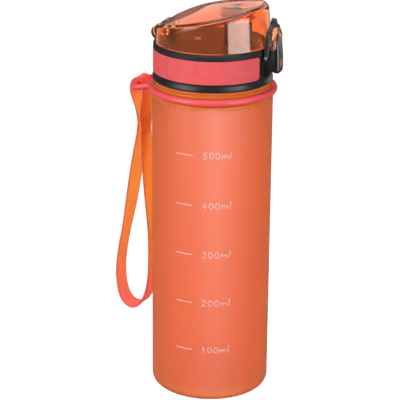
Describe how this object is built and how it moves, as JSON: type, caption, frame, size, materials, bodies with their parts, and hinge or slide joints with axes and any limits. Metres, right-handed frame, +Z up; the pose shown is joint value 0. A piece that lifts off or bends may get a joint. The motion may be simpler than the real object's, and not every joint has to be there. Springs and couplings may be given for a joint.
{
  "type": "sports squeeze bottle",
  "caption": "Frosted orange sports bottle with a screw lid, clear slanted flip cover over a spout, push button latch, safety bail, neck ring and wrist strap.",
  "frame": {"origin": "centre of the base, on the surface the bottle stands on", "axes": "+Z up along the bottle's axis, +X towards the lid's latch, -X towards the cover's hinge"},
  "size_m": [0.0999, 0.0738, 0.2323],
  "materials": {
    "frosted_orange": "frosted clear orange copolyester, satin outside, gloss neck",
    "coral_silicone": "smooth coral silicone",
    "strap_web": "flat woven webbing with a coral selvedge",
    "black_plastic": "fine satin black polypropylene",
    "coral_plastic": "smooth satin coral",
    "clear_silicone": "natural silicone",
    "clear_orange": "clear orange polycarbonate, polished",
    "dark_silicone": "dark silicone",
    "steel": "drawn stainless wire",
    "orange_inlay": "gloss orange inlay"
  },
  "bodies": {
    "bottle": {"bottle_body": "frosted_orange"},
    "ring": {"neck_ring": "coral_silicone"},
    "strap": {"carry_strap": "strap_web"},
    "lid_rise": {"lid_gasket": "clear_silicone"},
    "lid": {"lid_shell": "black_plastic", "lid_liner": "black_plastic", "collar_band": "coral_plastic", "drinking_spout": "black_plastic", "vent_valve": "clear_silicone", "hinge_pin": "steel", "hinge_spring": "steel", "latch_frame": "clear_orange", "button_spring": "steel", "latch_pin": "steel"},
    "cover": {"flip_cover": "clear_orange", "spout_seal": "dark_silicone", "seal_retainer": "clear_orange"},
    "button": {"release_button": "black_plastic", "button_badge": "orange_inlay"},
    "bail": {"lock_bail": "black_plastic"}
  },
  "joints": [
    {"name": "lid_lift", "type": "slide", "parent": "bottle", "child": "lid_rise", "axis": [0, 0, 1], "range_m": [0, 0.01801]},
    {"name": "lid_unscrew", "type": "hinge", "parent": "lid_rise", "child": "lid", "pos_m": [0, 0, 0.2], "axis": [0, 0, 1], "range_deg": [0, 1440]},
    {"name": "cover_flip", "type": "hinge", "parent": "lid", "child": "cover", "pos_m": [-0.0293, 0, 0.2136], "axis": [0, -1, 0], "range_deg": [0, 150]},
    {"name": "button_press", "type": "hinge", "parent": "lid", "child": "button", "pos_m": [0.0346, 0, 0.2048], "axis": [0, 1, 0], "range_deg": [0, 6], "stiffness_Nm_per_rad": 0.5, "springref_deg": -1.72, "deforming": ["button_spring"]},
    {"name": "bail_swing", "type": "hinge", "parent": "lid", "child": "bail", "pos_m": [0.0346, 0, 0.2048], "axis": [0, 1, 0], "range_deg": [0, 150]},
    {"name": "ring_turn", "type": "hinge", "parent": "bottle", "child": "ring", "pos_m": [0, 0, 0.1826], "axis": [0, 0, 1], "range_deg": [-120, 120]},
    {"name": "strap_swing", "type": "hinge", "parent": "ring", "child": "strap", "pos_m": [-0.04467, -0.00312, 0.18054], "axis": [-0.0698, 0.9976, 0], "range_deg": [0, 38]}
  ],
  "couplings": [
    {"joint": "lid_lift", "follows": "lid_unscrew", "m_per_rad": 0.0007162}
  ]
}
